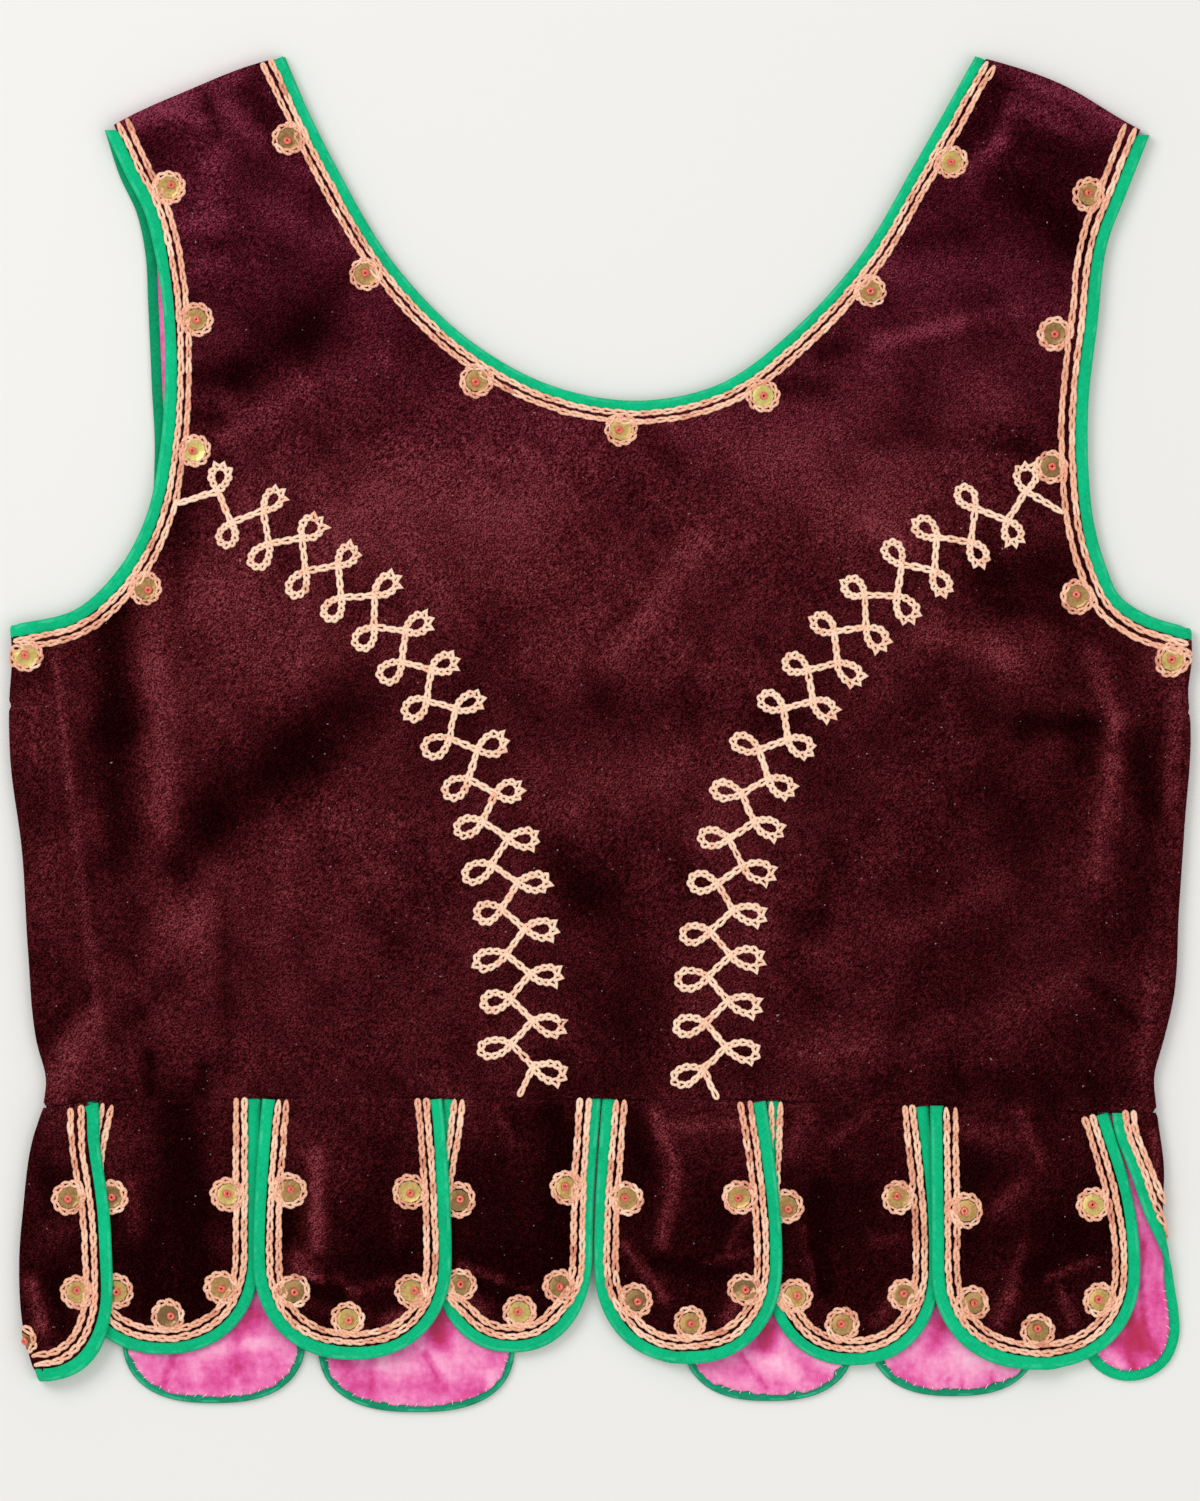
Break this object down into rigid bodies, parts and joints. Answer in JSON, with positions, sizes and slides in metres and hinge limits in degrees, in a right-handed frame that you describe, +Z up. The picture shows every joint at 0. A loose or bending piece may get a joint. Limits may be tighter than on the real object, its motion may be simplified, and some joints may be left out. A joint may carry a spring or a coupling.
{
  "type": "embroidered folk vest laid flat",
  "caption": "Sleeveless velvet folk vest laid flat with its back up: scooped neck, bound edges, chain-stitch embroidery with sequins, and round lined tabs at the waist.",
  "frame": {"origin": "under the middle of the outline, on the surface that the vest lies on", "axes": "+X towards the wearer's right, +Y from the tabs to the shoulders, +Z up out of the back"},
  "size_m": [0.4434, 0.5082, 0.0073],
  "materials": {
    "velvet": "dark maroon cotton velvet with a short pile",
    "satin": "pink satin lining",
    "binding": "emerald green cotton bias binding",
    "inner_binding": "green cotton bias binding, seen from its inner side",
    "thread": "matte peach embroidery cotton",
    "sequin": "glossy olive gold sequin",
    "bead": "small coral red glass bead"
  },
  "bodies": {
    "root": {"back_panel": "velvet", "back_tab_1": "velvet", "back_tab_2": "velvet", "back_tab_3": "velvet", "back_tab_4": "velvet", "back_tab_5": "velvet", "back_tab_6": "velvet", "binding_armhole_left": "binding", "binding_armhole_right": "binding", "binding_back_tab_1": "binding", "binding_back_tab_2": "binding", "binding_back_tab_3": "binding", "binding_back_tab_4": "binding", "binding_back_tab_5": "binding", "binding_back_tab_6": "binding", "binding_front_left": "binding", "binding_front_right": "binding", "binding_front_tab_1": "inner_binding", "binding_front_tab_2": "inner_binding", "binding_front_tab_3": "inner_binding", "binding_front_tab_4": "inner_binding", "binding_neck": "binding", "binding_side_tab_left": "binding", "binding_side_tab_right": "binding", "front_left": "velvet", "front_left_lining": "satin", "front_right": "velvet", "front_tab_1": "velvet", "front_tab_1_lining": "satin", "front_tab_2": "velvet", "front_tab_2_lining": "satin", "front_tab_3": "velvet", "front_tab_3_lining": "satin", "front_tab_4": "velvet", "front_tab_4_lining": "satin", "side_left_lower": "velvet", "side_left_upper": "velvet", "side_right_lower": "velvet", "side_right_upper": "velvet", "side_tab_left": "velvet", "side_tab_right": "velvet", "side_tab_right_lining": "satin"}
  },
  "joints": []
}
